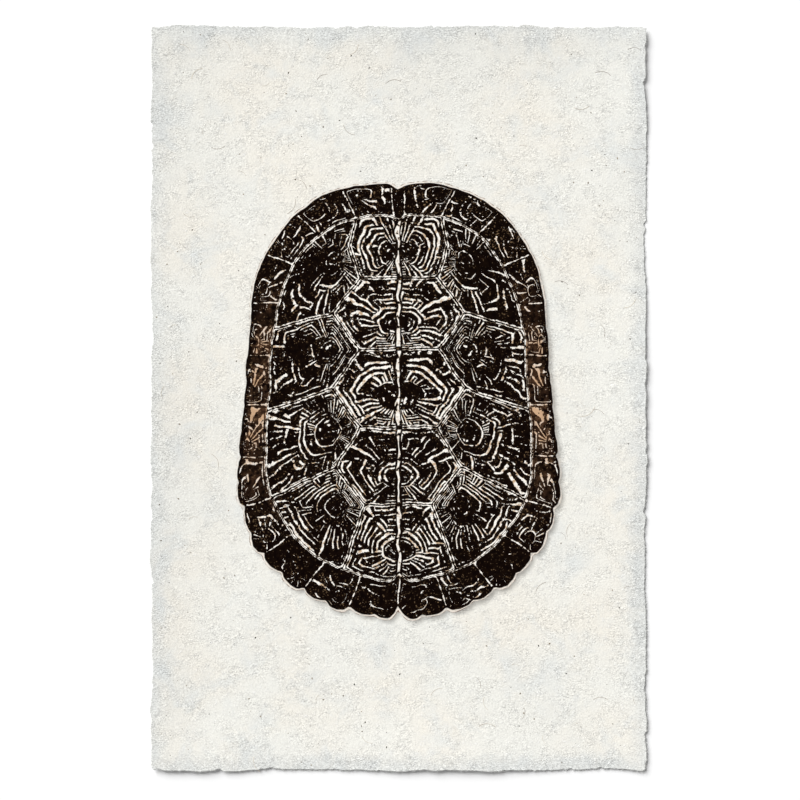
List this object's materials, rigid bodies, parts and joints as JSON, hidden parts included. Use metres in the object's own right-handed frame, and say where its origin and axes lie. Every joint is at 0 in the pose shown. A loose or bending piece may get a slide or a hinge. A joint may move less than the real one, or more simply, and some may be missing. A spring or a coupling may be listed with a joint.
{
  "type": "printed sheet of handmade paper",
  "caption": "Deckle-edged sheet of handmade paper with a printed picture of a turtle shell, to lie flat, frame or fix to a backing board.",
  "frame": {"origin": "on the table, under the middle of the sheet", "axes": "+X to the picture's right, +Y to its top, where the shell's head end is, +Z out of the printed face"},
  "size_m": [0.5078, 0.762, 0.0056],
  "materials": {
    "handmade_paper": "matte felt-marked cotton rag"
  },
  "bodies": {
    "root": {"paper_sheet": "handmade_paper"}
  },
  "joints": []
}
